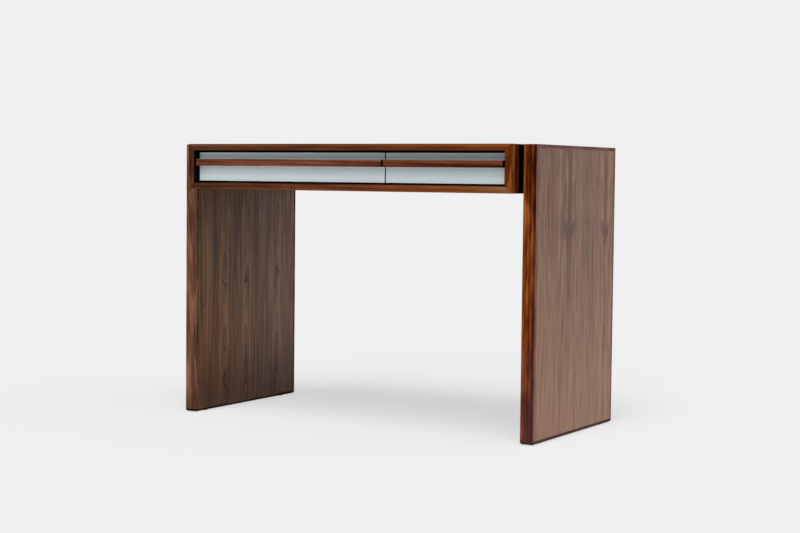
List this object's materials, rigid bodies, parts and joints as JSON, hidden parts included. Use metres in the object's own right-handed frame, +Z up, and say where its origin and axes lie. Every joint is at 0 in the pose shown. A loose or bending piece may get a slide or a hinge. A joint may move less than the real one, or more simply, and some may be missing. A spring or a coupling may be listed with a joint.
{
  "type": "console table",
  "caption": "Console table: walnut slab legs carry a mitred case flush with their tops, with sliding drawers that have recessed aluminium fronts and wooden rail pulls.",
  "frame": {"origin": "middle of the footprint, on the floor", "axes": "+X along the table's width to the right as seen from the front, +Y from the front to the back, +Z up"},
  "size_m": [1.118, 0.559, 0.775],
  "materials": {
    "walnut_veneer": "satin",
    "walnut_solid": "satin",
    "black_spacer": "matt black stain",
    "satin_aluminium": "satin anodised",
    "maple": "clear lacquer",
    "birch_ply": "clear lacquer",
    "beech": "bare",
    "zinc_steel": "zinc plated",
    "insert_brass": "bare",
    "glide_nylon": "moulded"
  },
  "bodies": {
    "table": {"back_screws": "zinc_steel", "case_back": "walnut_veneer", "case_bottom": "walnut_veneer", "case_bottom_lipping": "walnut_solid", "case_left_lipping": "walnut_solid", "case_left_side": "walnut_veneer", "case_rail_screws": "zinc_steel", "case_right_lipping": "walnut_solid", "case_right_side": "walnut_veneer", "case_top": "walnut_veneer", "case_top_lipping": "walnut_solid", "corner_splines": "beech", "divider_dowels": "beech", "drawer_divider": "walnut_veneer", "floor_glides": "glide_nylon", "left_drawer_left_case_rail": "zinc_steel", "left_drawer_right_case_rail": "zinc_steel", "left_leg_bottom_lipping": "walnut_solid", "left_leg_front_lipping": "walnut_solid", "left_leg_panel": "walnut_veneer", "left_leg_rear_lipping": "walnut_solid", "left_leg_top_lipping": "walnut_solid", "left_spacer": "black_spacer", "leg_bolts": "zinc_steel", "leg_inserts": "insert_brass", "right_drawer_left_case_rail": "zinc_steel", "right_drawer_right_case_rail": "zinc_steel", "right_leg_bottom_lipping": "walnut_solid", "right_leg_front_lipping": "walnut_solid", "right_leg_panel": "walnut_veneer", "right_leg_rear_lipping": "walnut_solid", "right_leg_top_lipping": "walnut_solid", "right_spacer": "black_spacer"},
    "left_drawer": {"left_drawer_bottom": "birch_ply", "left_drawer_box_back": "maple", "left_drawer_box_front": "maple", "left_drawer_front": "satin_aluminium", "left_drawer_left_drawer_rail": "zinc_steel", "left_drawer_left_side": "maple", "left_drawer_pull": "walnut_solid", "left_drawer_pull_screws": "zinc_steel", "left_drawer_rail_screws": "zinc_steel", "left_drawer_right_drawer_rail": "zinc_steel", "left_drawer_right_side": "maple"},
    "left_middle_rails": {"left_drawer_left_middle_rail": "zinc_steel", "left_drawer_right_middle_rail": "zinc_steel"},
    "right_drawer": {"right_drawer_bottom": "birch_ply", "right_drawer_box_back": "maple", "right_drawer_box_front": "maple", "right_drawer_front": "satin_aluminium", "right_drawer_left_drawer_rail": "zinc_steel", "right_drawer_left_side": "maple", "right_drawer_pull": "walnut_solid", "right_drawer_pull_screws": "zinc_steel", "right_drawer_rail_screws": "zinc_steel", "right_drawer_right_drawer_rail": "zinc_steel", "right_drawer_right_side": "maple"},
    "right_middle_rails": {"right_drawer_left_middle_rail": "zinc_steel", "right_drawer_right_middle_rail": "zinc_steel"}
  },
  "joints": [
    {"name": "left_drawer_slide", "type": "slide", "parent": "table", "child": "left_drawer", "axis": [0, -1, 0], "range_m": [0, 0.45]},
    {"name": "left_middle_slide", "type": "slide", "parent": "table", "child": "left_middle_rails", "axis": [0, -1, 0], "range_m": [0, 0.225]},
    {"name": "right_drawer_slide", "type": "slide", "parent": "table", "child": "right_drawer", "axis": [0, -1, 0], "range_m": [0, 0.45]},
    {"name": "right_middle_slide", "type": "slide", "parent": "table", "child": "right_middle_rails", "axis": [0, -1, 0], "range_m": [0, 0.225]}
  ],
  "couplings": [
    {"joint": "left_middle_slide", "follows": "left_drawer_slide", "ratio": 0.5},
    {"joint": "right_middle_slide", "follows": "right_drawer_slide", "ratio": 0.5}
  ]
}
